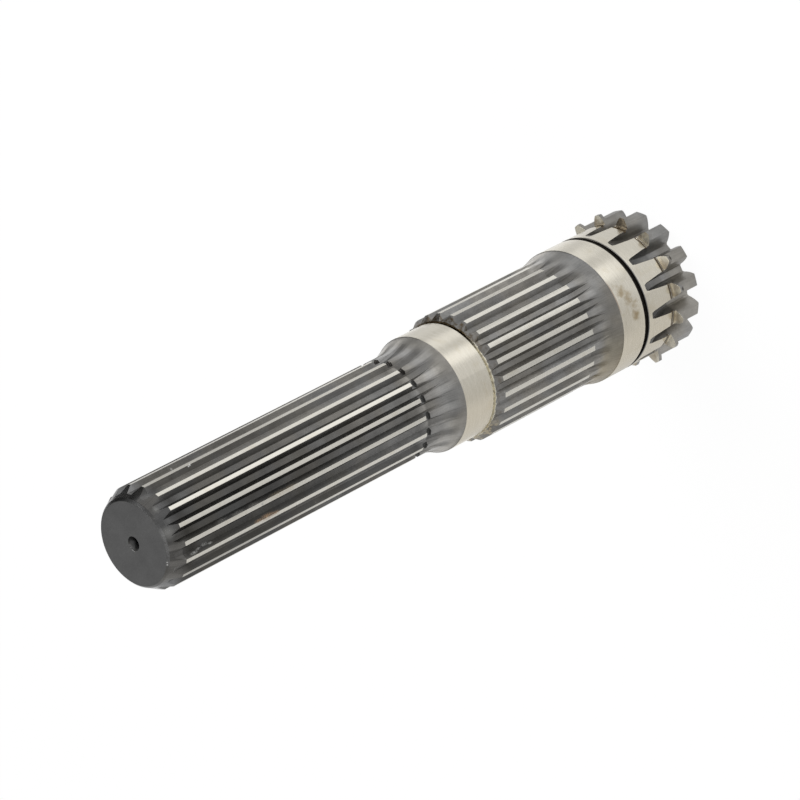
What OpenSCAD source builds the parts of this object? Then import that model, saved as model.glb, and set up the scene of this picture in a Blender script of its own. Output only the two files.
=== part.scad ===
// Differential shaft: one solid piece of steel with a long spline, a small seat,
// a short spline, a large seat with a ring groove, and a gear cut on its end.
// Z runs along the axis. The gear's end face is at Z = 0 and the long spline is on top.

/* [Gear end] */
// Number of gear teeth
gear_teeth = 15; // [13:1:17]
// Module of the gear
gear_module = 4.23; // [4.1:0.01:4.3]
// Profile shift of the gear in modules
gear_shift = 0.23; // [0.15:0.01:0.3]
// Pressure angle of the gear
gear_pressure_angle = 20; // [18:0.5:22]
// Addendum of the full-height rim in modules
gear_addendum = 1; // [0.95:0.01:1]
// Dedendum of the tooth gaps in modules
gear_dedendum = 1.25; // [1.2:0.01:1.3]
// How far the tooth tips behind the rim lie below it
tip_drop = 2.3; // [1:0.1:3]
// Thickness of the full-height rim along the axis
rim_w = 2.1; // [1.5:0.1:3]
// Length of the gear from its end face to the front of the rim
gear_len = 14.5; // [13:0.1:17]
// Width of the flat bottom of a tooth gap
gear_floor_w = 2.8; // [2:0.1:3.2]
// Radius of the cutter that left the run-out of the tooth gaps
gear_cutter_r = 35; // [30:1:40]
// Length of the gaps at full depth, from the end face
gear_full_depth = 12.9; // [11:0.1:14]
// Turn of the gear about the axis
gear_turn = 10.2; // [0:0.1:24]
// Bevel on the teeth at the end face
gear_bevel = 0.6; // [0.3:0.1:1]

/* [Relief in front of the gear] */
// Width of the plain strip between rim and relief
rim_land_w = 1.4; // [1:0.1:2]
// Width of the relief groove
relief_w = 1.5; // [1:0.1:2]
// Depth of the relief groove
relief_depth = 0.5; // [0.3:0.1:1]

/* [Large seat] */
// Diameter of the large seat
large_seat_d = 65; // [64.8:0.05:65.2]
// Length between the relief and the ring groove, where the tooth gaps run out
gap_land_len = 16.1; // [15:0.1:20]
// Width of the large ring groove
large_ring_w = 2.65; // [2.2:0.05:3.2]
// Diameter at the bottom of the large ring groove
large_ring_d = 62; // [61:0.5:63]
// Length of the bearing seat
large_seat_len = 15.5; // [14:0.1:20]
// Small bevel on the edges of the seats
seat_bevel = 0.3; // [0.2:0.1:0.5]

/* [Flare to the large seat] */
// Length of the flare
large_flare_len = 10.9; // [10:0.1:13]
// Radius of its hollow curve
large_flare_r = 22; // [20:1:24]
// Slope of its straight part
large_flare_slope = 16.5; // [15:0.5:17]
// Length of the plain neck between flare and short spline
large_neck_len = 6.8; // [5:0.1:9]

/* [Short spline] */
// Number of teeth
short_teeth = 24; // [22:1:26]
// Diameter over the teeth
short_d = 61; // [60.8:0.1:61.4]
// Diameter between the teeth
short_root_d = 56; // [55.4:0.1:56.4]
// Width of a tooth at its top
short_top_w = 2.15; // [2:0.05:2.6]
// Width of the flat between two teeth
short_floor_w = 2.3; // [2:0.1:2.5]
// Length at full tooth height
short_len = 61.5; // [50:0.5:80]
// Length of the bevel at the front of the teeth
short_bevel_len = 3.65; // [3.4:0.05:4]
// Diameter where that bevel begins
short_bevel_d = 55.6; // [55.2:0.1:55.8]
// Radius of the cutter that left the run-out of the gaps
short_cutter_r = 40; // [36:1:42]
// Length at the far end of the teeth over which the gaps already rise
short_rise = 3.6; // [3:0.1:5]
// Turn of the spline about the axis
short_turn = 0.1; // [0:0.1:15]

/* [Small seat] */
// Diameter of the small seat
small_seat_d = 55; // [54.8:0.05:55.2]
// Length of the small seat
small_seat_len = 18.2; // [15:0.1:25]
// Width of the undercut between the seat and the short spline
undercut_w = 0.9; // [0.6:0.1:1.2]
// Diameter at the bottom of the undercut
undercut_d = 53.4; // [53:0.1:53.8]

/* [Flare to the small seat] */
// Length of the flare
small_flare_len = 13.4; // [13:0.1:16]
// Radius of its hollow curve
small_flare_r = 22; // [21:1:24]
// Slope of its straight part
small_flare_slope = 20; // [19:0.5:20.5]
// Length of the plain neck between flare and ring groove
small_neck_len = 5.7; // [4:0.1:8]

/* [Long spline] */
// Number of teeth
long_teeth = 18; // [17:1:20]
// Diameter over the teeth
long_d = 47.6; // [47.4:0.1:48]
// Diameter between the teeth
long_root_d = 42.8; // [42.4:0.1:43]
// Width of a tooth at its top
long_top_w = 1.75; // [1.6:0.05:2.3]
// Width of the flat between two teeth
long_floor_w = 2.6; // [2.3:0.1:2.8]
// Length at full tooth height
long_len = 150.9; // [120:0.1:180]
// Radius of the cutter that left the run-out of the gaps
long_cutter_r = 46; // [44:1:48]
// Length at the foot of the teeth over which the gaps already rise
long_rise = 1.5; // [1:0.1:2]
// Width of the ring groove at the foot of the long spline
small_ring_w = 2.8; // [2:0.1:3]
// Diameter at the bottom of that ring groove
small_ring_d = 44.6; // [44:0.1:45.5]
// How far the necks lie below the ground tops of the teeth
neck_step = 0.12; // [0.05:0.01:0.2]

/* [Long end] */
// Length of the bevel at the front of the teeth
long_bevel_len = 6.65; // [6:0.05:8]
// Diameter where that bevel begins
long_bevel_d = 40.8; // [40:0.1:41.5]
// Width of the small bevel around the end face
end_bevel = 1; // [0.5:0.1:1.5]
// Mouth diameter of the centre hole
centre_mouth_d = 6.7; // [6:0.1:8]
// Diameter of the pilot of the centre hole
centre_pilot_d = 3.15; // [2.5:0.05:4]
// Depth of the centre hole
centre_depth = 7; // [6:0.5:10]
// Full angle of the centre hole's cone
centre_angle = 60; // [60:30:90]

/* [Hidden] */
steel = "#8c8a86";
$fn = 96;

// Cutters reach this far past the surfaces that they cut
reach = 4;

// Radii
pitch_r = gear_module * gear_teeth / 2;
rim_r = pitch_r + gear_module * (gear_addendum + gear_shift);
gear_r = rim_r - tip_drop;
gear_root_r = pitch_r - gear_module * (gear_dedendum - gear_shift);
large_r = large_seat_d / 2;
small_r = small_seat_d / 2;
short_r = short_d / 2;
short_root_r = short_root_d / 2;
short_neck_r = short_r - neck_step;
long_r = long_d / 2;
long_root_r = long_root_d / 2;
long_neck_r = long_r - neck_step;
long_bevel_r = long_bevel_d / 2;

// Stations along the axis, from the gear's end face upwards
relief_z = gear_len + rim_land_w;
gap_land_z = relief_z + relief_w;
large_ring_z = gap_land_z + gap_land_len;
large_seat_z = large_ring_z + large_ring_w;
large_flare_z = large_seat_z + large_seat_len;
large_neck_z = large_flare_z + large_flare_len;
short_z = large_neck_z + large_neck_len;
short_bevel_z = short_z + short_len;
undercut_z = short_bevel_z + short_bevel_len;
small_seat_z = undercut_z + undercut_w;
small_flare_z = small_seat_z + small_seat_len;
small_neck_z = small_flare_z + small_flare_len;
small_ring_z = small_neck_z + small_neck_len;
long_z = small_ring_z + small_ring_w;
long_bevel_z = long_z + long_len;
end_bevel_z = long_bevel_z + long_bevel_len;
top_z = end_bevel_z + end_bevel;

// Rise and length of the hollow part of a flare
function hollow_rise(r, slope) = r * (1 - cos(slope));
function hollow_len(r, slope) = r * sin(slope);

// Involute flank of the gear
base_r = pitch_r * cos(gear_pressure_angle);
function involute(a) = tan(a) - a * PI / 180;
half_pitch_tooth = (PI / 2 + 2 * gear_shift * tan(gear_pressure_angle)) / gear_teeth;
function half_gap(r) = 180 / gear_teeth
    - (half_pitch_tooth + involute(gear_pressure_angle) - involute(acos(base_r / r))) * 180 / PI;
function flank(r) = [r * cos(half_gap(r)), r * sin(half_gap(r))];

// One circle through three points of the flank stands in for the involute
flank_foot = flank(base_r * 1.005);
flank_mid = flank((base_r + rim_r) / 2);
flank_top = flank(rim_r);
function sq(p) = p[0] * p[0] + p[1] * p[1];
flank_span = 2 * (flank_foot[0] * (flank_mid[1] - flank_top[1])
    + flank_mid[0] * (flank_top[1] - flank_foot[1])
    + flank_top[0] * (flank_foot[1] - flank_mid[1]));
flank_c = [
    (sq(flank_foot) * (flank_mid[1] - flank_top[1]) + sq(flank_mid) * (flank_top[1] - flank_foot[1])
        + sq(flank_top) * (flank_foot[1] - flank_mid[1])) / flank_span,
    (sq(flank_foot) * (flank_top[0] - flank_mid[0]) + sq(flank_mid) * (flank_foot[0] - flank_top[0])
        + sq(flank_top) * (flank_mid[0] - flank_foot[0])) / flank_span
];
flank_r = norm(flank_foot - flank_c);

// Half of the hollow curve of a flare, lying under its neck
module hollow_2d(neck_r, z, r, slope) {
    difference() {
        translate([0, z - hollow_len(r, slope)])
            square([neck_r + hollow_rise(r, slope), hollow_len(r, slope)]);
        translate([neck_r + r, z])
            circle(r = r);
    }
}

// Half section from the gear up to the foot of the large flare's curve
module gear_half_2d() {
    polygon([
        [0, 0],
        [gear_r - gear_bevel, 0],
        [gear_r, gear_bevel],
        [gear_r, gear_len - rim_w],
        [rim_r, gear_len - rim_w],
        [rim_r, gear_len],
        [large_r, gear_len],
        [large_r, relief_z],
        [large_r - relief_depth, relief_z],
        [large_r - relief_depth, gap_land_z],
        [large_r, gap_land_z],
        [large_r, large_ring_z - seat_bevel],
        [large_r - seat_bevel, large_ring_z],
        [large_ring_d / 2, large_ring_z],
        [large_ring_d / 2, large_seat_z],
        [large_r - seat_bevel, large_seat_z],
        [large_r, large_seat_z + seat_bevel],
        [large_r, large_flare_z - seat_bevel],
        [large_r - seat_bevel, large_flare_z],
        [short_neck_r + hollow_rise(large_flare_r, large_flare_slope),
            large_neck_z - hollow_len(large_flare_r, large_flare_slope)],
        [0, large_neck_z - hollow_len(large_flare_r, large_flare_slope)]
    ]);
}

// Half section from the large neck up to the foot of the small flare's curve
module middle_half_2d() {
    polygon([
        [0, large_neck_z],
        [short_neck_r, large_neck_z],
        [short_neck_r, short_z],
        [short_r, short_z],
        [short_r, short_bevel_z],
        [short_bevel_d / 2, undercut_z],
        [undercut_d / 2, undercut_z],
        [undercut_d / 2, small_seat_z],
        [small_r - seat_bevel, small_seat_z],
        [small_r, small_seat_z + seat_bevel],
        [small_r, small_flare_z - seat_bevel],
        [small_r - seat_bevel, small_flare_z],
        [long_neck_r + hollow_rise(small_flare_r, small_flare_slope),
            small_neck_z - hollow_len(small_flare_r, small_flare_slope)],
        [0, small_neck_z - hollow_len(small_flare_r, small_flare_slope)]
    ]);
}

// Half section from the small neck up to the end face
module long_half_2d() {
    polygon([
        [0, small_neck_z],
        [long_neck_r, small_neck_z],
        [long_neck_r, small_ring_z],
        [small_ring_d / 2, small_ring_z],
        [small_ring_d / 2, long_z],
        [long_r, long_z],
        [long_r, long_bevel_z],
        [long_bevel_r, end_bevel_z],
        [long_bevel_r - end_bevel, top_z],
        [0, top_z]
    ]);
}

// The shaft as it leaves the lathe
module turned_blank() {
    rotate_extrude() {
        gear_half_2d();
        hollow_2d(short_neck_r, large_neck_z, large_flare_r, large_flare_slope);
        middle_half_2d();
        hollow_2d(long_neck_r, small_neck_z, small_flare_r, small_flare_slope);
        long_half_2d();
    }
}

// Section of one spline gap, with its floor at root_r and straight flanks
module spline_gap_2d(teeth, outer_r, root_r, top_w, floor_w) {
    half = 180 / teeth - asin(top_w / 2 / outer_r);
    edge = [outer_r * cos(half), outer_r * sin(half)];
    grow = (edge[1] - floor_w / 2) / (edge[0] - root_r);
    far = [edge[0] + reach, edge[1] + reach * grow];
    polygon([[root_r, -floor_w / 2], [far[0], -far[1]], [far[0], far[1]], [root_r, floor_w / 2]]);
}

// Section of one tooth gap of the gear, with curved flanks and bevelled corners at the floor
module gear_gap_2d() {
    far = rim_r + 1;
    difference() {
        polygon([
            [gear_root_r, -gear_floor_w / 2],
            [flank_foot[0] - 1, -flank_foot[1]],
            [flank_foot[0], -flank_foot[1]],
            [flank_foot[0], -flank_c[1]],
            [far, -flank_c[1]],
            [far, flank_c[1]],
            [flank_foot[0], flank_c[1]],
            [flank_foot[0], flank_foot[1]],
            [flank_foot[0] - 1, flank_foot[1]],
            [gear_root_r, gear_floor_w / 2]
        ]);
        translate(flank_c)
            circle(r = flank_r);
        translate([flank_c[0], -flank_c[1]])
            circle(r = flank_r);
    }
}

// Sweeps a gap section along the axis from z0 to z1
module straight_cut(z0, z1) {
    translate([0, 0, z0])
        linear_extrude(z1 - z0)
            children();
}

// Sweeps a gap section about the cutter's own axis, so the gap rises out of the shaft.
// side -1 rises towards the gear and side 1 towards the long end.
module run_out(z, root_r, cutter_r, angle, side) {
    translate([root_r + cutter_r, 0, z])
        rotate([90, 0, 0])
            rotate_extrude(angle = angle, start = side < 0 ? 180 : 180 - angle)
                translate([root_r + cutter_r, 0])
                    mirror([1, 0])
                        children();
}

// Angle at which a cutter has left a surface of radius r
function exit_angle(root_r, cutter_r, r) = acos(1 - (r - root_r) / cutter_r) + 1;

module long_gaps() {
    for (i = [0 : long_teeth - 1])
        rotate([0, 0, (i + 0.5) * 360 / long_teeth]) {
            straight_cut(long_z + long_rise, top_z + reach)
                spline_gap_2d(long_teeth, long_r, long_root_r, long_top_w, long_floor_w);
            run_out(long_z + long_rise, long_root_r, long_cutter_r,
                    exit_angle(long_root_r, long_cutter_r, small_r), -1)
                spline_gap_2d(long_teeth, long_r, long_root_r, long_top_w, long_floor_w);
        }
}

module short_gaps() {
    for (i = [0 : short_teeth - 1])
        rotate([0, 0, short_turn + (i + 0.5) * 360 / short_teeth]) {
            straight_cut(short_z + short_rise, undercut_z + undercut_w / 2)
                spline_gap_2d(short_teeth, short_r, short_root_r, short_top_w, short_floor_w);
            run_out(short_z + short_rise, short_root_r, short_cutter_r,
                    exit_angle(short_root_r, short_cutter_r, large_r), -1)
                spline_gap_2d(short_teeth, short_r, short_root_r, short_top_w, short_floor_w);
        }
}

module gear_gaps() {
    for (i = [0 : gear_teeth - 1])
        rotate([0, 0, gear_turn + (i + 0.5) * 360 / gear_teeth]) {
            straight_cut(-reach, gear_full_depth)
                gear_gap_2d();
            run_out(gear_full_depth, gear_root_r, gear_cutter_r,
                    exit_angle(gear_root_r, gear_cutter_r, large_r), 1)
                gear_gap_2d();
        }
}

// Centre hole in the top face: a cone with a pilot below it
module centre_hole() {
    cone_len = (centre_mouth_d - centre_pilot_d) / 2 / tan(centre_angle / 2);
    translate([0, 0, top_z - cone_len])
        cylinder(h = cone_len, d1 = centre_pilot_d, d2 = centre_mouth_d);
    translate([0, 0, top_z - centre_depth])
        cylinder(h = centre_depth, d = centre_pilot_d);
}

module shaft() {
    color(steel)
        difference() {
            turned_blank();
            long_gaps();
            short_gaps();
            gear_gaps();
            centre_hole();
        }
}

shaft();
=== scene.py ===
"""Looks of the differential shaft: one steel piece, dark where the steel was only hardened
and bright where it was ground. Everything is in the part's own frame, with Z along the axis.
The shaft stands on its gear end, and the camera is rolled as in the photograph."""
import math

import bpy
from mathutils import Matrix, Vector

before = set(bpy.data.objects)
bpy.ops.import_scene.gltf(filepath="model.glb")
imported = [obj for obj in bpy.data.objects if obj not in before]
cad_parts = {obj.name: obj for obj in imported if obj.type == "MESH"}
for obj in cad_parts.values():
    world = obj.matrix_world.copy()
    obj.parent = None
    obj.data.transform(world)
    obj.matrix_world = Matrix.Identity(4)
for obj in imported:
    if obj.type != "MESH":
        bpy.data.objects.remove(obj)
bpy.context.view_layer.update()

MM = 0.001      # frame, camera and stage are in metres, and all that lies on the steel is in mm

# ---------------------------------------------------------------- stations along the axis
GEAR_FRONT = 14.5                       # front face of the rim
RELIEF = (15.9, 17.4)                   # groove in front of the rim
LARGE_RING = (33.5, 36.15)
LARGE_SEAT_END = 51.65
SHORT_START, SHORT_END = 69.35, 130.85
UNDERCUT = (134.5, 135.4)
SMALL_SEAT_END = 153.6
SMALL_RING = (172.7, 175.5)
LONG_START, LONG_END = 175.5, 326.4
BEVEL_END, TOP = 332.95, 334.05         # the bevel, and after its narrow edge the end face
HOLE_BOTTOM = 320.0

# ---------------------------------------------------------------- radii and teeth
LONG_R, LONG_FLOOR_R = 23.8, 21.4       # over the teeth and between them
SHORT_R = 30.5
LARGE_SEAT_R, SMALL_SEAT_R = 32.5, 27.5
FACE_R = 19.4
# these only bound the zones that have a colour of their own
RELIEF_ABOVE, UNDERCUT_BELOW, HOLE_WITHIN = 31.4, 28.2, 3.6
LARGE_RING_R, SMALL_RING_R = (30.8, 32.2), (22.25, 23.6)
LONG_TEETH, LONG_TURN = 18, 0.0         # how many, and where one of them stands, in degrees
SHORT_TEETH, SHORT_TURN = 24, 0.1

# ---------------------------------------------------------------- colours, linear


def grey(level):
    return (level, level, level, 1)


WHITE = grey(1)
STAIN = (0.50, 0.41, 0.27, 1)
RUSTY = (0.37, 0.245, 0.15, 1)
BLACK = (0.03, 0.025, 0.02, 1)
CHIP_AND_PAINTED_SHEEN = (0.55, 0.55, 0.53, 1)
SMEAR = (0.36, 0.35, 0.325, 1)
GLINT = (0.95, 0.95, 0.93, 1)

# tints that multiply the hardened steel's grey
WARM, WARMER = (1.0, 0.985, 0.955, 1), (1.03, 0.985, 0.90, 1)
COLD, END_COLD = (0.96, 1.0, 1.01, 1), (0.99, 1.0, 1.03, 1)
OLIVE = (1.07, 0.98, 0.80, 1)

FACE = (0.134, 0.134, 0.1335)
EDGE_PAINTED_LIGHT, EDGE_PAINTED_SHADE = grey(0.27), grey(0.045)
NICK = (0.42, 0.40, 0.36, 1)

GROUND_DARK, GROUND_LIGHT = (0.78, 0.735, 0.63, 1), (0.93, 0.885, 0.775, 1)
GROUND_YELLOW = (0.74, 0.67, 0.52, 1)
SEAT_EDGE = (0.42, 0.30, 0.22, 1)
TOPS_TINT = (0.98, 1.0, 1.045)
LOW_SEATS_PAINTED_SHADE = (0.94, 0.91, 0.86, 1)

# the rim's tooth fronts, clean and stained: low on the near side, and high there with painted
# shade
RIM_CLEAN_LIT_AND_SHADED = (0.95, 0.91, 0.80, 1), (0.50, 0.48, 0.41, 1)
RIM_STAINED_LIT_AND_SHADED = (0.72, 0.65, 0.53, 1), (0.27, 0.235, 0.18, 1)
RIM_PAINTED_SHADE = (0.08, 0.068, 0.052, 1)

RELIEF_FLOOR = (0.17, 0.14, 0.105, 1)
RELIEF_WALL_LIT_AND_SHADED = (0.95, 0.91, 0.81, 1), (0.16, 0.13, 0.09, 1)
RIM_EDGE = (0.34, 0.30, 0.235, 1)
RELIEF_HAZE = (0.42, 0.36, 0.27, 1)
UNDERCUT_LIT_AND_SHADED = (0.95, 0.91, 0.78, 1), (0.05, 0.035, 0.018, 1)
CRUST_DARK, CRUST_GOLDEN = (0.12, 0.085, 0.045, 1), (0.62, 0.54, 0.38, 1)
LARGE_RING_COLOUR = (0.075, 0.068, 0.06, 1)
SMALL_RING_LIT_AND_SHADED = (0.2, 0.2, 0.195, 1), (0.09, 0.085, 0.08, 1)
HOLE_DEEP_SHADE, HOLE_MOUTH_SHADE = grey(0.018), grey(0.09)

# ---------------------------------------------------------------- tables of the steel
# How light the hardened, unground steel is along the axis: (z, linear grey)
OXIDE = (
    (0.0, 0.36), (14.2, 0.35), (15.5, 0.25), (50.0, 0.24), (52.0, 0.29), (61.0, 0.28),
    (68.0, 0.27), (128.0, 0.28), (131.5, 0.30), (150.0, 0.33), (163.0, 0.31), (172.0, 0.24),
    (178.0, 0.130), (205.0, 0.124), (235.0, 0.110), (270.0, 0.082), (322.0, 0.080),
    (327.0, 0.14), (333.1, 0.14), (333.4, 0.12),
)
# Painted shade, and below 0 painted light, in some gaps of the long spline: (turn in degrees, how
# much darker)
GAPS_PAINTED_SHADE = ((-70, -0.15), (-50, 0.12), (-30, 0.42), (-10, 0.25), (10, 0.1))
GAP_HALF, GAP_SOFT = 5.5, 2.5           # in degrees
DARK_SIDE = -12                         # turn where the painted light on the long spline is weakest, so the steel is darkest
# How much painted light, or below 0 painted shade, lies on the steel in some zones
FLOORS_LIGHTER, TURN_LIGHT_PAINTED, GEAR_LOW_LIGHTER = 0.75, 0.5, 0.2
BEVEL_LOW_LIGHTER, BEVEL_HIGH_LIGHTER = 0.35, -0.4
LAND_LIGHTER, TOPS_PAINTED_SHADE = -0.13, -0.33
# Where along the shaft the painted shade on gaps and tops begins, and where it is full
GAPS_DARKEN, TOPS_SHADE_ZONE, LOW_TOPS_SHADE_ZONE = (190, 250), (190, 295), (260, 285)
OLIVE_END = 60.0

# Painted light and shade on the flares: (teeth, turn of one, where they begin, where they are
# full, where they end)
RIDGES = (
    (LONG_TEETH, LONG_TURN, 154.0, 160.0, SMALL_RING[0]),
    (SHORT_TEETH, SHORT_TURN, 56.0, 62.0, SHORT_START),
)

# Marks: (z, turn in degrees, radius, size, strength), and a colour where they have their own
LARGE_SEAT_STAIN = (
    (46.2, 5.0, 32.5, 6.0, 0.75), (43.6, -2.5, 32.5, 6.5, 0.65), (41.8, -10.0, 32.5, 6.0, 0.6),
    (41.6, -17.5, 32.5, 5.2, 0.85), (48.6, 11.5, 32.5, 4.6, 0.3), (46.5, -12.0, 32.5, 3.6, 0.4),
)
SQUEEZE = 0.33                          # makes these three times as long as they are wide
LONG_MARKS = (
    (277.0, -37.4, 23.5, 1.9, 1.0, RUSTY), (272.0, -37.8, 23.7, 1.2, 0.9, RUSTY),
    (282.5, -37.4, 23.4, 1.1, 0.8, RUSTY), (303.0, -16.2, 22.7, 1.7, 0.6, SMEAR),
    (294.0, -16.8, 23.0, 1.8, 0.7, SMEAR), (284.0, -17.0, 23.1, 1.7, 0.6, SMEAR),
    (270.0, -19.0, 23.8, 2.6, 0.45, STAIN), (262.0, -18.6, 23.8, 2.0, 0.4, STAIN),
    (314.0, -33.5, 22.0, 1.0, 0.8, CHIP_AND_PAINTED_SHEEN), (311.0, -35.0, 22.4, 0.7, 0.7, CHIP_AND_PAINTED_SHEEN),
    (321.0, -36.0, 22.8, 1.0, 0.6, CHIP_AND_PAINTED_SHEEN), (318.0, -34.5, 22.3, 0.8, 0.6, CHIP_AND_PAINTED_SHEEN),
)
ROUND_MARKS = (
    # the two black spots at z 12.4 are painted shade behind the rim's edge
    (12.4, 10.0, 36.9, 1.7, 1.0, BLACK), (12.6, -14.0, 36.9, 1.6, 1.0, BLACK),
    # the three broad marks at z 328.5 to 331.5 are painted light on the bevel
    (331.5, -2.0, 21.2, 4.5, 0.36, CHIP_AND_PAINTED_SHEEN), (330.5, 28.0, 22.0, 2.5, 0.3, CHIP_AND_PAINTED_SHEEN),
    (328.5, 10.0, 22.5, 2.0, 0.2, CHIP_AND_PAINTED_SHEEN), (299.3, 57.5, 23.7, 0.8, 1.0, GLINT),
    (300.2, 57.0, 23.4, 0.6, 1.0, GLINT), (303.8, 74.7, 22.1, 0.9, 0.6, CHIP_AND_PAINTED_SHEEN),
    (333.75, -41.5, 19.7, 0.5, 1.0, GLINT), (333.85, -38.0, 19.6, 0.5, 0.8, GLINT),
    (279.7, -20.3, 23.8, 1.0, 0.9, CHIP_AND_PAINTED_SHEEN), (319.0, -37.5, 23.5, 0.6, 0.8, BLACK),
)

METALLIC = 0.95
BUMP_STRENGTH, BUMP_HEIGHT = 0.25, 0.02
EDGE_ROUNDING = 0.15                    # how round sharp edges look

# ---------------------------------------------------------------- camera
AIM = Vector((-0.2, 2.2, 165.5)) * MM
DISTANCE = 2.2325
AZIMUTH, ELEVATION, ROLL = math.radians(5.115), math.radians(40.956), math.radians(-117.36)
SENSOR, FOCAL = 36.0, 227.1
CLIP = (0.05, 20)

# ---------------------------------------------------------------- stage, in metres and degrees
FLOOR_HALF = 6.0
FLOOR_GREY = 0.9
FLOOR_SEEN, FLOOR_MIRRORED = 0.96, 0.95     # share of the floor's own light in what they see
# What reflections see of the floor is a plain level, with soft strips of light that run
# outwards from the shaft: (azimuth, half width, brightness added)
PLAIN = 0.62
STRIPS = (
    (36, 16, 0.42), (78, 16, 0.22), (-29, 34, -0.14), (101, 10, -0.08), (182, 44, 0.38),
    (59, 8, -0.05),
)
STRIPS_BEGIN, STRIPS_FULL = 0.058, 0.085    # distances from the axis
# One more strip lies only close to the shaft, and ends between these two distances
NEAR_STRIP, NEAR_END = (145, 42, 0.26), (0.11, 0.14)
# Farther out the floor is a little lighter, and the strips are a little weaker
FAR_BEGIN, FAR_FULL, FAR_ADDED, FAR_STRIPS = 0.19, 0.26, 0.045, 0.88

CARD = ("dark_card", 125, 0.7, 0.8, 0.0, 0.62)      # name, azimuth, distance, width, low, high
CARD_GREY, CARD_ROUGHNESS = 0.03, 0.9
# Lamps: (name, direction from the middle of the shaft, side, power, seen by reflections)
LAMPS = (
    ("key", (-0.2, 0.7, 1.2), 1.0, 26, True),
    ("front", (1.0, -0.02, 0.25), 0.5, 5, False),
    ("side", (0.3, -0.9, 0.55), 1.2, 8, False),
)
LAMP_DISTANCE, LAMP_AIM = 1.8, Vector((0, 0, 0.17))
WORLD_STRENGTH = 0.55


# ---------------------------------------------------------------- node helpers
class Graph:
    """Shorthand for building a node tree: sockets and plain numbers mix freely."""

    def __init__(self, tree):
        self.tree = tree

    def add(self, kind, **settings):
        made = self.tree.nodes.new(kind)
        for name, value in settings.items():
            setattr(made, name, value)
        return made

    def plug(self, value, socket):
        if isinstance(value, bpy.types.NodeSocket):
            self.tree.links.new(value, socket)
        else:
            socket.default_value = value

    def plug_all(self, values, sockets):
        for value, socket in zip(values, sockets):
            self.plug(value, socket)

    def math(self, operation, *values):
        made = self.add("ShaderNodeMath", operation=operation)
        self.plug_all(values, made.inputs)
        return made.outputs[0]

    def vector_math(self, operation, *values):
        made = self.add("ShaderNodeVectorMath", operation=operation)
        self.plug_all(values, made.inputs)
        return made

    def mul(self, first, *others):
        for other in others:
            first = self.math("MULTIPLY", first, other)
        return first

    def plus(self, a, b):
        return self.math("ADD", a, b)

    def most(self, a, b):
        return self.math("MAXIMUM", a, b)

    def flip(self, a):
        return self.math("SUBTRACT", 1.0, a)

    def share(self, where, amount):
        """A factor: 1 where where is 0, and 1 + amount where it is 1."""
        return self.plus(1.0, self.mul(where, amount))

    def ramp(self, value, low, high, to_low=0.0, to_high=1.0):
        """value mapped smoothly from low..high to to_low..to_high, and held at the ends."""
        made = self.add("ShaderNodeMapRange", interpolation_type="SMOOTHSTEP")
        made.clamp = True
        self.plug_all((value, low, high, to_low, to_high), made.inputs)
        return made.outputs[0]

    def band(self, value, low, high, soft):
        """1 between low and high, falling to 0 over soft outside them."""
        return self.mul(self.ramp(value, low - soft, low),
                        self.ramp(value, high, high + soft, 1.0, 0.0))

    def spread(self, noise, low, high):
        """A noise stretched over low to high."""
        return self.ramp(noise, 0.3, 0.7, low, high)

    def blend(self, factor, a, b):
        """Plain numbers or values mixed by factor."""
        made = self.add("ShaderNodeMix", data_type="FLOAT")
        self.plug_all((factor, a, b), made.inputs[0:1] + made.inputs[2:4])
        return made.outputs[0]

    def mix(self, factor, a, b):
        """Colours mixed by factor."""
        made = self.add("ShaderNodeMix", data_type="RGBA")
        self.plug_all((factor, a, b), (made.inputs[0], made.inputs[6], made.inputs[7]))
        return made.outputs[2]

    def scaled(self, vector, factor):
        """A vector or colour times a plain value."""
        made = self.vector_math("SCALE", vector)
        self.plug(factor, made.inputs["Scale"])
        return made.outputs[0]

    def product(self, a, b):
        return self.vector_math("MULTIPLY", a, b).outputs[0]

    def tinted(self, colour, factor, tint):
        """A colour multiplied by a tint, as far as factor says."""
        return self.product(colour, self.mix(factor, WHITE, tint))

    def noise(self, vector, scale, detail, roughness):
        made = self.add("ShaderNodeTexNoise", noise_dimensions="3D")
        self.plug(vector, made.inputs["Vector"])
        made.inputs["Scale"].default_value = scale
        made.inputs["Detail"].default_value = detail
        made.inputs["Roughness"].default_value = roughness
        made.inputs["Lacunarity"].default_value = 2.0
        return made.outputs["Fac"]

    def vector(self, x, y, z):
        made = self.add("ShaderNodeCombineXYZ")
        self.plug_all((x, y, z), made.inputs)
        return made.outputs[0]


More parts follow.
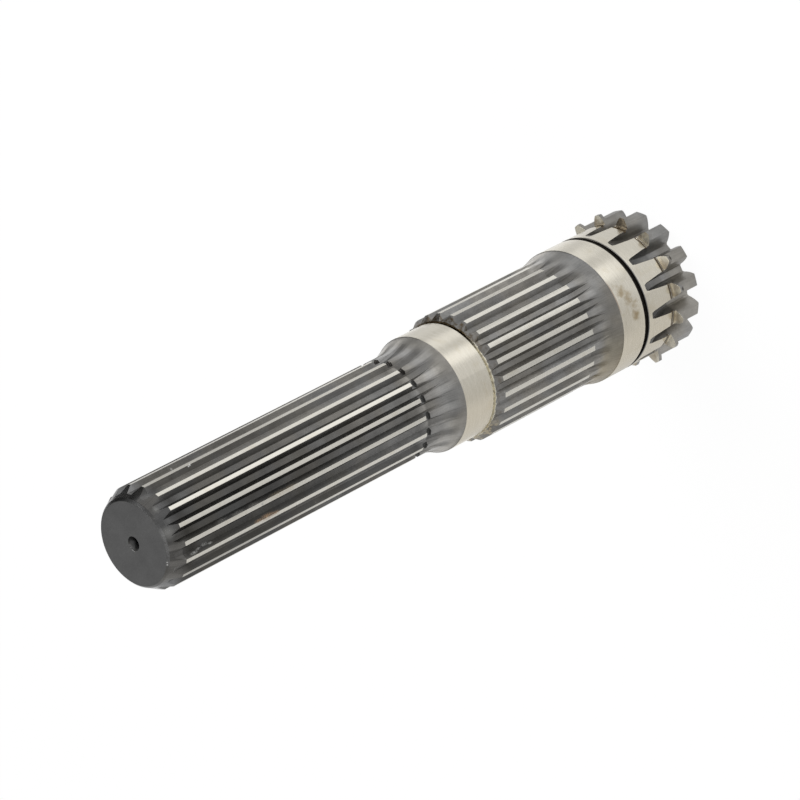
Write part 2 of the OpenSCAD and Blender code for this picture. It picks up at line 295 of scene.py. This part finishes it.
class Steel(Graph):
    """The steel's node tree, with what its parts share: place, noises and zones."""

    def __init__(self, tree):
        super().__init__(tree)
        self.mm = self.scaled(self.add("ShaderNodeTexCoord").outputs["Object"], 1 / MM)
        split = self.add("ShaderNodeSeparateXYZ")
        self.plug(self.mm, split.inputs[0])
        x, y, self.z = split.outputs
        self.radius = self.math("SQRT", self.plus(self.mul(x, x), self.mul(y, y)))
        # turn about the axis, from the side that the photograph shows; the far side repeats
        # it like a mirror
        self.turn = self.math("ARCSINE", self.math("DIVIDE", y, self.radius))

        # noises: grinding and turning marks run round the shaft, cutting marks along it
        self.marks = self.noise(
            self.vector(self.mul(self.turn, 5.0), self.mul(self.z, 4.0), self.radius),
            1.0, 4.0, 0.65)
        self.streaks = self.noise(
            self.vector(self.mul(self.turn, 60.0), self.mul(self.z, 0.05), 0.0), 1.0, 3.0, 0.6)
        self.grain = self.noise(self.mm, 2.2, 2.0, 0.5)
        self.cloud = self.noise(self.mm, 0.11, 3.0, 0.55)
        self.tone = self.noise(self.mm, 0.05, 2.0, 0.5)
        self.speck = self.noise(self.mm, 0.8, 4.0, 0.65)

        # where the steel was ground bright
        ragged = self.ramp(self.speck, 0.35, 0.65, -0.02, 0.02)
        rough_edge = self.plus(self.radius, ragged)
        long_tops = self.mul(self.z_band(LONG_START, LONG_END, 0.05),
                             self.ramp(rough_edge, LONG_R - 0.09, LONG_R - 0.04))
        short_tops = self.mul(self.z_band(SHORT_START, SHORT_END, 0.05),
                              self.ramp(rough_edge, SHORT_R - 0.1, SHORT_R - 0.05))
        small_seat = self.mul(self.z_band(UNDERCUT[1], SMALL_SEAT_END, 0.02),
                              self.r_ramp(SMALL_SEAT_R - 0.1, SMALL_SEAT_R - 0.04))
        large_seat = self.mul(self.z_band(GEAR_FRONT + 0.1, LARGE_SEAT_END, 0.02),
                              self.r_ramp(LARGE_SEAT_R - 0.1, LARGE_SEAT_R - 0.04))
        self.seats = self.most(small_seat, large_seat)
        self.tops = self.most(long_tops, short_tops)
        self.bright = self.most(self.tops, self.seats)

        # other zones
        self.rim_front = self.mul(self.z_band(GEAR_FRONT - 0.08, GEAR_FRONT + 0.08, 0.02),
                                  self.r_ramp(LARGE_SEAT_R - 0.5, LARGE_SEAT_R - 0.1))
        self.face = self.z_ramp(TOP - 0.1, TOP - 0.05)
        self.upper = self.turn_ramp(15, 40)
        wobble = self.spread(self.noise(self.mm, 0.35, 4.0, 0.65), -0.25, 0.25)
        self.undercut = self.mul(
            self.band(self.plus(self.z, wobble), UNDERCUT[0] - 0.2, UNDERCUT[1] + 0.15, 0.1),
            self.r_ramp(UNDERCUT_BELOW, UNDERCUT_BELOW + 0.2, 1.0, 0.0))

    def z_ramp(self, low, high, to_low=0.0, to_high=1.0):
        return self.ramp(self.z, low, high, to_low, to_high)

    def z_band(self, low, high, soft):
        return self.band(self.z, low, high, soft)

    def r_ramp(self, low, high, to_low=0.0, to_high=1.0):
        return self.ramp(self.radius, low, high, to_low, to_high)

    def turn_ramp(self, low, high, to_low=0.0, to_high=1.0):
        """A ramp along the turn, in degrees."""
        return self.ramp(self.turn, math.radians(low), math.radians(high), to_low, to_high)

    def turn_band(self, low, high, soft):
        """A band of the turn, in degrees."""
        return self.band(self.turn, math.radians(low), math.radians(high), math.radians(soft))

    def aside(self, middle, low, high):
        """0 within low degrees of the turn middle, rising to 1 at high degrees from it."""
        apart = self.math("ABSOLUTE", self.plus(self.turn, -math.radians(middle)))
        return self.ramp(apart, math.radians(low), math.radians(high))

    def teeth_wave(self, teeth, first):
        """1 along the middle of each tooth of a spline, -1 along its gaps."""
        return self.math("COSINE", self.mul(self.plus(self.turn, -math.radians(first)),
                                            float(teeth)))

    def spot(self, place, z, degrees, radius, size, squeeze=1.0):
        """1 in the middle of a ball round a point of the surface, falling to 0 at its edge."""
        a = math.radians(degrees)
        centre = (radius * math.cos(a), radius * math.sin(a), z * squeeze)
        apart = self.vector_math("DISTANCE", place, centre).outputs["Value"]
        return self.ramp(apart, 0.0, size, 1.0, 0.0)


# ---------------------------------------------------------------- the steel
def tone_and_painted_light(s):
    """How light the hardened steel is from place to place, as a factor near 1: tone that differs
    at random, and painted light and shade.
    """
    factor = s.mul(s.spread(s.cloud, 0.88, 1.12), s.spread(s.streaks, 0.92, 1.08),
                   s.spread(s.grain, 0.93, 1.07))
    # painted highlight along the floors of the long spline's gaps
    floors = s.mul(s.r_ramp(LONG_FLOOR_R + 0.15, LONG_FLOOR_R + 0.35, 1.0, 0.0),
                   s.z_band(SMALL_RING[0], LONG_END - 12.0, 10.0))
    factor = s.mul(factor, s.share(floors, FLOORS_LIGHTER))

    # painted light that changes round the shaft: weakest, and so darkest, round DARK_SIDE on
    # the long spline, and strongest high and low on the flares
    long_side = s.mul(s.aside(DARK_SIDE, 20, 80), s.z_ramp(SMALL_RING[1], SMALL_RING[1] + 10))
    upper_side = s.mul(s.turn_ramp(62, 84), s.z_ramp(SHORT_START, SMALL_SEAT_END, 1.3, 0.7))
    flare_side = s.most(upper_side, s.turn_ramp(-80, -35, 1.0, 0.0))
    flares = s.most(s.z_ramp(SMALL_SEAT_END, SMALL_SEAT_END + 2),
                    s.z_ramp(SHORT_START, SHORT_START + 5, 1.0, 0.0))
    flares = s.mul(flares, s.mul(s.z_ramp(SMALL_RING[1], SMALL_RING[1] + 5, 1.0, 0.0),
                                 s.z_ramp(GEAR_FRONT, 50)))
    painted_turn_light = s.plus(long_side, s.mul(flares, flare_side))
    factor = s.mul(factor, s.share(painted_turn_light, TURN_LIGHT_PAINTED))
    # painted shade in some gaps of the long spline, and painted light where the amount is below 0
    for degrees, darker in GAPS_PAINTED_SHADE:
        gap = s.turn_band(degrees - GAP_HALF, degrees + GAP_HALF, GAP_SOFT)
        factor = s.mul(factor, s.share(s.mul(gap, s.z_ramp(*GAPS_DARKEN)), -darker))
    # painted light on the gear, and just past its front, on the low side
    gear_low = s.mul(s.z_ramp(GEAR_FRONT, GEAR_FRONT + 2, 1.0, 0.0),
                     s.turn_ramp(-20, 0, 1.0, 0.0))
    factor = s.mul(factor, s.share(gear_low, GEAR_LOW_LIGHTER))
    # painted light low on the bevel, and painted shade high on it
    bevel_low = s.mul(s.turn_band(-42, -20, 8), BEVEL_LOW_LIGHTER)
    bevel_high = s.mul(s.turn_band(56, 65, 4), BEVEL_HIGH_LIGHTER)
    bevel = s.z_band(LONG_END, BEVEL_END, 0.2)
    factor = s.mul(factor, s.share(bevel, s.plus(bevel_low, bevel_high)))

    # painted light on the flares' ridges between the cutters' tracks, weaker below turn -60,
    # painted shade in the tracks away from turn 0, and thin lines of painted shade beside the
    # ridges
    aside = s.aside(0, 15, 45)
    for teeth, first, begin, full, end in RIDGES:
        wave = s.teeth_wave(teeth, first)
        zone = s.mul(s.z_ramp(begin, full), s.z_ramp(end, end + 0.1, 1.0, 0.0))
        ridge_highlight = s.mul(s.ramp(wave, 0.1, 0.8), s.turn_ramp(-60, -15, 0.12, 0.42))
        track_shade = s.mul(s.ramp(wave, -0.9, 0.0, -0.38, 0.0), aside)
        score_shade = s.mul(s.band(wave, -0.02, 0.12, 0.14), s.ramp(s.grain, 0.35, 0.6, -0.08, -0.26))
        factor = s.mul(factor, s.share(zone, s.plus(score_shade, s.plus(ridge_highlight, track_shade))))
    return factor


def hardened(s):
    """Colour of the steel that was only hardened."""
    level = s.add("ShaderNodeValToRGB")
    stops = level.color_ramp.elements
    for i, (at, lightness) in enumerate(OXIDE):
        stop = stops[i] if i < 2 else stops.new(at / TOP)
        stop.position = at / TOP
        stop.color = grey(lightness)
    s.plug(s.math("DIVIDE", s.z, TOP), level.inputs[0])
    colour = s.scaled(level.outputs[0], tone_and_painted_light(s))

    warm = s.mix(s.ramp(s.tone, 0.4, 0.62), WARM, WARMER)
    colour = s.product(colour, s.mix(s.ramp(s.tone, 0.33, 0.45, 0.2, 0.0), warm, COLD))
    olive = s.mul(s.z_band(LARGE_SEAT_END, OLIVE_END, 6.0), s.turn_ramp(-45, 0, 1.0, 0.0))
    colour = s.tinted(colour, olive, OLIVE)
    colour = s.tinted(colour, s.z_ramp(LONG_END - 6, LONG_END), END_COLD)

    # the end face, and the narrow edge round it, with painted light low down and painted shade
    # high up
    uneven = s.mul(s.spread(s.grain, 0.92, 1.08), s.spread(s.cloud, 0.93, 1.07))
    colour = s.mix(s.face, colour, s.scaled(FACE, uneven))
    edge = s.mul(s.z_ramp(BEVEL_END, BEVEL_END + 0.1), s.flip(s.face))
    light = s.mul(edge, s.turn_band(-32, -4, 20), s.ramp(s.grain, 0.3, 0.65, 0.2, 0.7))
    colour = s.mix(light, colour, EDGE_PAINTED_LIGHT)
    edge = s.most(edge, s.mul(s.face, s.r_ramp(FACE_R - 0.3, FACE_R - 0.2)))
    colour = s.mix(s.mul(edge, s.turn_ramp(0, 40)), colour, EDGE_PAINTED_SHADE)

    nicks = s.mul(s.ramp(s.speck, 0.66, 0.74), s.ramp(s.cloud, 0.5, 0.6), s.flip(s.face))
    return s.mix(s.mul(nicks, 0.5), colour, NICK)


def ground(s):
    """Colour of the steel that was ground: the seats, the land and the tops of the teeth."""
    colour = s.mix(s.ramp(s.marks, 0.25, 0.75), GROUND_DARK, GROUND_LIGHT)
    colour = s.mix(s.ramp(s.cloud, 0.55, 0.75, 0.0, 0.45), colour, GROUND_YELLOW)
    stain = 0.0
    for at, degrees, r, size, strength in LARGE_SEAT_STAIN:
        stain = s.most(stain, s.mul(s.spot(s.mm, at, degrees, r, size), strength))
    eaten = s.plus(s.spread(s.noise(s.mm, 0.4, 3.0, 0.5), -0.22, 0.24), stain)
    colour = s.mix(s.mul(s.ramp(eaten, 0.0, 1.05), s.ramp(stain, 0.0, 0.45)), colour, STAIN)
    seat_edge = s.mul(s.z_band(LARGE_SEAT_END - 0.7, LARGE_SEAT_END, 0.3), s.turn_band(-6, 12, 8))
    colour = s.mix(s.mul(seat_edge, 0.6), colour, SEAT_EDGE)

    shade = s.mul(s.z_band(RELIEF[1], LARGE_RING[0], 0.5), s.turn_band(-24, -8, 4))
    colour = s.scaled(colour, s.share(shade, LAND_LIGHTER))
    # tooth tops are less yellow than the seats, and have painted shade at the sides towards the
    # long end
    tops_shade = s.mul(s.aside(0, 32, 72), s.z_ramp(*TOPS_SHADE_ZONE))
    tops_shade = s.plus(tops_shade, s.mul(s.turn_ramp(-50, -28, 0.35, 0.0), s.z_ramp(*LOW_TOPS_SHADE_ZONE)))
    colour = s.tinted(colour, s.tops, s.scaled(TOPS_TINT, s.share(tops_shade, TOPS_PAINTED_SHADE)))
    # painted shade on the seats' low side
    return s.tinted(colour, s.mul(s.seats, s.turn_ramp(-40, 10, 1.0, 0.0)), LOW_SEATS_PAINTED_SHADE)


def add_marks(s, colour):
    """Rust, smears, chips and dark spots, with painted shade behind the rim and painted light on
    the bevel.
    """
    squeezed = s.product(s.mm, (1.0, 1.0, SQUEEZE))
    broken = s.ramp(s.grain, 0.38, 0.56, 0.1, 1.0)
    for at, degrees, r, size, strength, paint in LONG_MARKS:
        here = s.mul(s.spot(squeezed, at, degrees, r, size, SQUEEZE), s.mul(broken, strength))
        colour = s.mix(here, colour, paint)
    for at, degrees, r, size, strength, paint in ROUND_MARKS:
        colour = s.mix(s.mul(s.spot(s.mm, at, degrees, r, size), strength), colour, paint)
    return colour


def add_rim(s, colour):
    """The rim's tooth fronts: ground, then stained brown, with painted shade high on the near
    side.
    """
    high = s.turn_ramp(20, 35)
    stained = s.ramp(s.noise(s.mm, 0.14, 4.0, 0.6), 0.46, 0.62)
    rim = s.mix(stained, s.mix(high, *RIM_CLEAN_LIT_AND_SHADED), s.mix(high, *RIM_STAINED_LIT_AND_SHADED))
    # painted shade on the tooth fronts between 50 and 65 degrees, and a little between 29 and 40
    rim = s.mix(s.turn_band(50, 65, 3), rim, RIM_PAINTED_SHADE)
    rim = s.scaled(rim, s.flip(s.mul(s.turn_band(29, 40, 4), 0.45)))
    return s.mix(s.rim_front, colour, rim)


def add_relief(s, colour):
    """The groove in front of the rim: a brown floor, its wall with painted light and shade, and
    the rim's edge over it.
    """
    outside_gaps = s.r_ramp(RELIEF_ABOVE, RELIEF_ABOVE + 0.2)
    floor = s.mul(s.z_band(RELIEF[0] - 0.05, RELIEF[1] + 0.05, 0.05), outside_gaps)
    colour = s.mix(floor, colour, RELIEF_FLOOR)
    # the groove's wall with painted light, and painted shade past about 47 degrees
    wall = s.mul(s.z_band(RELIEF[0] - 0.04, RELIEF[0] + 0.04, 0.03),
                 s.r_ramp(LARGE_SEAT_R - 0.1, LARGE_SEAT_R - 0.02, 1.0, 0.0), outside_gaps)
    colour = s.mix(wall, colour, s.mix(s.turn_ramp(44, 50), *RELIEF_WALL_LIT_AND_SHADED))
    edge = s.mul(s.z_band(RELIEF[0] - 0.75, RELIEF[0] - 0.06, 0.06),
                 s.r_ramp(LARGE_SEAT_R - 0.1, LARGE_SEAT_R - 0.04))
    # the rim's edge over the groove is brown low on the near side, and more so past 50 degrees
    brown_by_turn = s.most(s.turn_ramp(-8, 2, 0.5, 0.08), s.turn_ramp(46, 50, 0.0, 0.8))
    colour = s.mix(s.mul(edge, brown_by_turn), colour, RIM_EDGE)
    haze = s.mul(s.z_band(GEAR_FRONT, RELIEF[1] + 0.3, 0.7),
                 s.r_ramp(LARGE_SEAT_R - 0.3, LARGE_SEAT_R - 0.2),
                 s.ramp(s.noise(s.mm, 0.3, 3.0, 0.6), 0.4, 0.65, 0.0, 0.3))
    return s.mix(haze, colour, RELIEF_HAZE)


def add_undercut(s, colour):
    """The undercut beside the small seat, with painted light low and painted shade high, and the
    crust on the ends of the short teeth.
    """
    # painted light on the undercut low down, and painted shade high up
    colour = s.mix(s.undercut, colour, s.mix(s.upper, *UNDERCUT_LIT_AND_SHADED))
    crust = s.mul(s.z_band(UNDERCUT[0] - 2.4, UNDERCUT[0], 0.8),
                  s.r_ramp(SHORT_R - 0.6, SHORT_R - 0.3, 1.0, 0.0),
                  s.ramp(s.noise(s.mm, 0.5, 3.0, 0.65), 0.42, 0.6))
    colour = s.mix(s.mul(crust, s.blend(s.upper, 0.35, 0.85)), colour, CRUST_DARK)
    golden = s.mul(s.z_band(UNDERCUT[0] - 2.8, UNDERCUT[0], 0.8),
                   s.turn_ramp(-68, -50, 1.0, 0.0),
                   s.ramp(s.noise(s.mm, 0.6, 3.0, 0.65), 0.45, 0.55, 0.0, 0.7))
    return s.mix(golden, colour, CRUST_GOLDEN)


def add_rings_and_hole(s, colour):
    """The two ring grooves, the small one with painted shade, and painted shade in the centre
    hole.
    """
    large = s.mul(s.z_band(*LARGE_RING, 0.02), s.band(s.radius, *LARGE_RING_R, 0.05))
    small = s.mul(s.z_band(*SMALL_RING, 0.02), s.band(s.radius, *SMALL_RING_R, 0.05))
    colour = s.mix(large, colour, LARGE_RING_COLOUR)
    # the small ring groove with painted shade, darker high up than low down
    colour = s.mix(small, colour, s.mix(s.upper, *SMALL_RING_LIT_AND_SHADED))
    # painted shade in the centre hole, darkest deep inside
    hole = s.mul(s.z_ramp(TOP - 1.6, TOP - 0.15, 1.0, 0.0),
                 s.mul(s.z_ramp(HOLE_BOTTOM, HOLE_BOTTOM + 1),
                       s.r_ramp(HOLE_WITHIN, HOLE_WITHIN + 0.2, 1.0, 0.0)))
    return s.mix(hole, colour, s.mix(s.r_ramp(1.5, 2.4), HOLE_DEEP_SHADE, HOLE_MOUTH_SHADE))


def roughness(s):
    """Ground steel is the smoothest, and the bevel smoother than the rest of the dark steel."""
    bevel = s.mul(s.z_ramp(LONG_END, LONG_END + 0.1),
                  s.z_ramp(BEVEL_END, BEVEL_END + 0.1, 1.0, 0.0))
    dark = s.blend(bevel, s.spread(s.speck, 0.28, 0.40), 0.22)
    dark = s.blend(s.mul(s.undercut, s.flip(s.upper)), dark, 0.6)
    dark = s.blend(s.rim_front, dark, 0.5)
    return s.blend(s.bright, dark, s.spread(s.marks, 0.17, 0.27))


def steel_material():
    mat = bpy.data.materials.new("steel_hardened_and_ground")
    mat.use_nodes = True
    mat.node_tree.nodes.clear()
    s = Steel(mat.node_tree)
    colour = s.mix(s.bright, hardened(s), ground(s))
    for add in (add_marks, add_rim, add_relief, add_undercut, add_rings_and_hole):
        colour = add(s, colour)

    bump = s.add("ShaderNodeBump")
    bump.inputs["Strength"].default_value = BUMP_STRENGTH
    bump.inputs["Distance"].default_value = BUMP_HEIGHT * MM
    s.plug(s.blend(s.bright, s.plus(s.speck, s.streaks), s.marks), bump.inputs["Height"])
    edge = s.add("ShaderNodeBevel", samples=4)
    edge.inputs["Radius"].default_value = EDGE_ROUNDING * MM
    s.plug(edge.outputs[0], bump.inputs["Normal"])

    shader = s.add("ShaderNodeBsdfPrincipled")
    s.plug(colour, shader.inputs["Base Color"])
    shader.inputs["Metallic"].default_value = METALLIC
    s.plug(roughness(s), shader.inputs["Roughness"])
    s.plug(bump.outputs[0], shader.inputs["Normal"])
    out = s.add("ShaderNodeOutputMaterial")
    s.plug(shader.outputs[0], out.inputs[0])
    return mat


# ---------------------------------------------------------------- camera and stage
def link_new(name, data):
    made = bpy.data.objects.new(name, data)
    bpy.context.scene.collection.objects.link(made)
    return made


def outward(azimuth):
    """The level direction at that azimuth, in degrees."""
    a = math.radians(azimuth)
    return Vector((math.cos(a), math.sin(a), 0))


def add_camera():
    data = bpy.data.cameras.new("camera")
    data.sensor_width = SENSOR
    data.lens = FOCAL
    data.clip_start, data.clip_end = CLIP
    cam = link_new("camera", data)
    away = Vector((math.cos(ELEVATION) * math.cos(AZIMUTH),
                   math.cos(ELEVATION) * math.sin(AZIMUTH),
                   math.sin(ELEVATION)))
    upright = (-away).to_track_quat("-Z", "Y").to_matrix().to_4x4()
    cam.matrix_world = (Matrix.Translation(AIM + away * DISTANCE) @ upright
                        @ Matrix.Rotation(ROLL, 4, "Z"))
    bpy.context.scene.camera = cam


def floor_seen_by_reflections(g):
    """How bright reflections see the floor: soft strips of light round the shaft."""
    place = g.add("ShaderNodeTexCoord").outputs["Object"]
    flat = g.vector_math("NORMALIZE", place).outputs[0]
    apart = g.vector_math("LENGTH", place).outputs["Value"]

    def strip(azimuth, half, added):
        along = g.vector_math("DOT_PRODUCT", flat, outward(azimuth)).outputs["Value"]
        return g.ramp(along, math.cos(math.radians(half)), 1.0, 0.0, added)

    far = g.ramp(apart, FAR_BEGIN, FAR_FULL)
    reach = g.mul(g.ramp(apart, STRIPS_BEGIN, STRIPS_FULL), g.blend(far, 1.0, FAR_STRIPS))
    strips = 0.0
    for settings in STRIPS:
        strips = g.plus(strips, strip(*settings))
    near = g.mul(strip(*NEAR_STRIP), g.ramp(apart, *NEAR_END, 1.0, 0.0))
    return g.plus(g.plus(PLAIN, g.mul(far, FAR_ADDED)), g.plus(g.mul(strips, reach), near))


def add_floor():
    """A pale floor, white to the camera, with soft light for reflections. It keeps the shadow."""
    mesh = bpy.data.meshes.new("floor")
    half = FLOOR_HALF
    corners = [(-half, -half, 0), (half, -half, 0), (half, half, 0), (-half, half, 0)]
    mesh.from_pydata(corners, [], [(0, 1, 2, 3)])
    floor = link_new("floor", mesh)
    mat = bpy.data.materials.new("floor")
    mat.use_nodes = True
    mat.node_tree.nodes.clear()
    g = Graph(mat.node_tree)
    strength = floor_seen_by_reflections(g)
    path = g.add("ShaderNodeLightPath")
    mirrored = g.most(path.outputs["Is Glossy Ray"], path.outputs["Is Transmission Ray"])
    diffuse = g.add("ShaderNodeBsdfDiffuse")
    diffuse.inputs["Color"].default_value = grey(FLOOR_GREY)
    glow = g.add("ShaderNodeEmission")
    glow.inputs["Color"].default_value = WHITE
    g.plug(g.blend(mirrored, 1.0, strength), glow.inputs["Strength"])
    both = g.add("ShaderNodeMixShader")
    own_light = g.most(g.mul(path.outputs["Is Camera Ray"], FLOOR_SEEN),
                       g.mul(mirrored, FLOOR_MIRRORED))
    g.plug_all((own_light, diffuse.outputs[0], glow.outputs[0]), both.inputs)
    out = g.add("ShaderNodeOutputMaterial")
    g.plug(both.outputs[0], out.inputs[0])
    mesh.materials.append(mat)


def add_card(name, azimuth, distance, width, low, high):
    """A dark upright card that only reflections see, facing the shaft."""
    away = outward(azimuth)
    side = Vector((-away.y, away.x, 0)) * width / 2
    mesh = bpy.data.meshes.new(name)
    corners = [away * distance + side * way + Vector((0, 0, height))
               for way, height in ((-1, low), (1, low), (1, high), (-1, high))]
    mesh.from_pydata(corners, [], [(0, 1, 2, 3)])
    card = link_new(name, mesh)
    mat = bpy.data.materials.new(name)
    mat.use_nodes = True
    shader = mat.node_tree.nodes["Principled BSDF"]
    shader.inputs["Base Color"].default_value = grey(CARD_GREY)
    shader.inputs["Roughness"].default_value = CARD_ROUGHNESS
    mesh.materials.append(mat)
    card.visible_camera = False
    card.visible_diffuse = False
    card.visible_shadow = False


def add_lamp(name, direction, size, power, mirrored):
    """A soft square lamp in that direction from the middle of the shaft, aimed at it."""
    data = bpy.data.lights.new(name, "AREA")
    data.shape = "SQUARE"
    data.size = size
    data.energy = power
    lamp = link_new(name, data)
    away = Vector(direction).normalized()
    lamp.location = LAMP_AIM + away * LAMP_DISTANCE
    lamp.rotation_mode = "QUATERNION"
    lamp.rotation_quaternion = (-away).to_track_quat("-Z", "Y")
    lamp.visible_glossy = mirrored


def add_world():
    world = bpy.data.worlds.new("world")
    bpy.context.scene.world = world
    world.use_nodes = True
    back = world.node_tree.nodes["Background"]
    back.inputs["Color"].default_value = WHITE
    back.inputs["Strength"].default_value = WORLD_STRENGTH


add_camera()
add_world()
add_floor()
add_card(*CARD)
for settings in LAMPS:
    add_lamp(*settings)

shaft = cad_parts["shaft"]
shaft.data.materials.clear()
shaft.data.materials.append(steel_material())

bpy.context.scene.view_settings.view_transform = "Standard"
